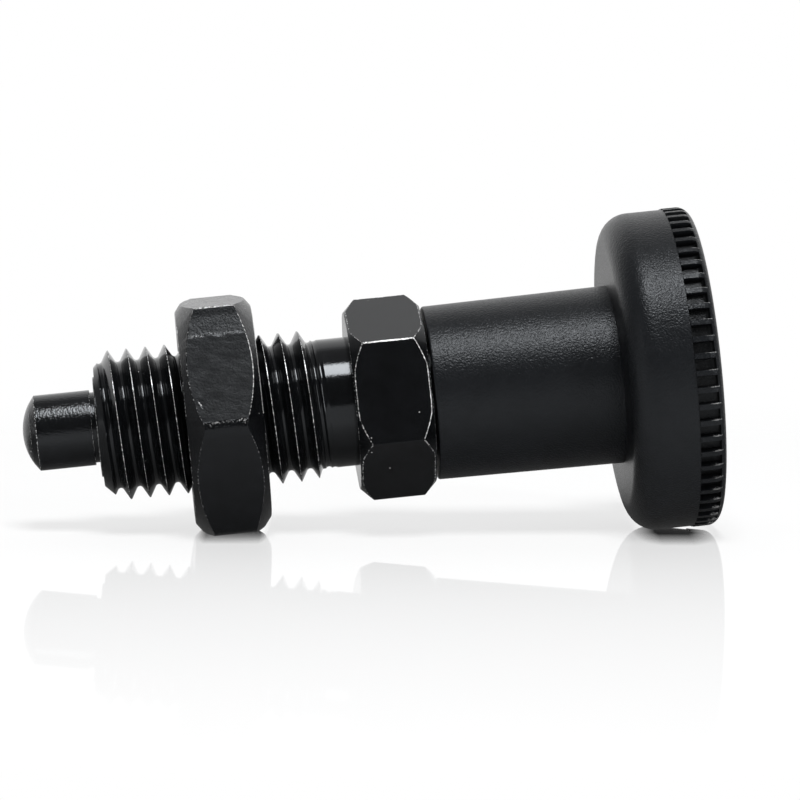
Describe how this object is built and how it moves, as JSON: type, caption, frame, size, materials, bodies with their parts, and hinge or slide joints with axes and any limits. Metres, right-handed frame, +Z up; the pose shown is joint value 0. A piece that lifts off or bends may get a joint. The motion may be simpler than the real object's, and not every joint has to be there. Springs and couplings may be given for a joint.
{
  "type": "indexing plunger",
  "caption": "Sprung indexing plunger: a threaded steel barrel with hexagon collar and lock nut, a domed locating pin and a round toothed pull knob.",
  "frame": {"origin": "on the plunger's axis, in the collar's front face, which seats on the plate that the barrel is screwed into", "axes": "+X along the plunger's axis from the nose to the knob, +Z up with the lock nut's lower flat facing down, +Y away from the side that shows"},
  "size_m": [0.054, 0.0254, 0.0254],
  "materials": {
    "black_steel": "blackened turned steel, smooth and glossy",
    "bush_steel": "blackened steel, satin",
    "pin_steel": "blackened hardened steel, satin",
    "spring_steel": "bright drawn spring wire",
    "forged_steel": "blackened forged steel, rough and mottled",
    "knob_plastic": "fine-grained moulded plastic, matt black"
  },
  "bodies": {
    "barrel": {"guide_body": "black_steel", "front_bush": "bush_steel"},
    "spring_end": {"spring": "spring_steel"},
    "plunger": {"plunger_pin": "pin_steel", "knob": "knob_plastic"},
    "nut": {"lock_nut": "forged_steel"}
  },
  "joints": [
    {"name": "pull", "type": "slide", "parent": "barrel", "child": "spring_end", "axis": [1, 0, 0], "range_m": [0, 0.006], "stiffness_N_per_m": 1333, "springref_m": -0.0045, "deforming": ["spring"]},
    {"name": "knob_turn", "type": "hinge", "parent": "spring_end", "child": "plunger", "pos_m": [0, 0, 0], "axis": [1, 0, 0], "continuous": true},
    {"name": "nut_travel", "type": "slide", "parent": "barrel", "child": "nut", "axis": [1, 0, 0], "range_m": [-0.006, 0.003]}
  ]
}
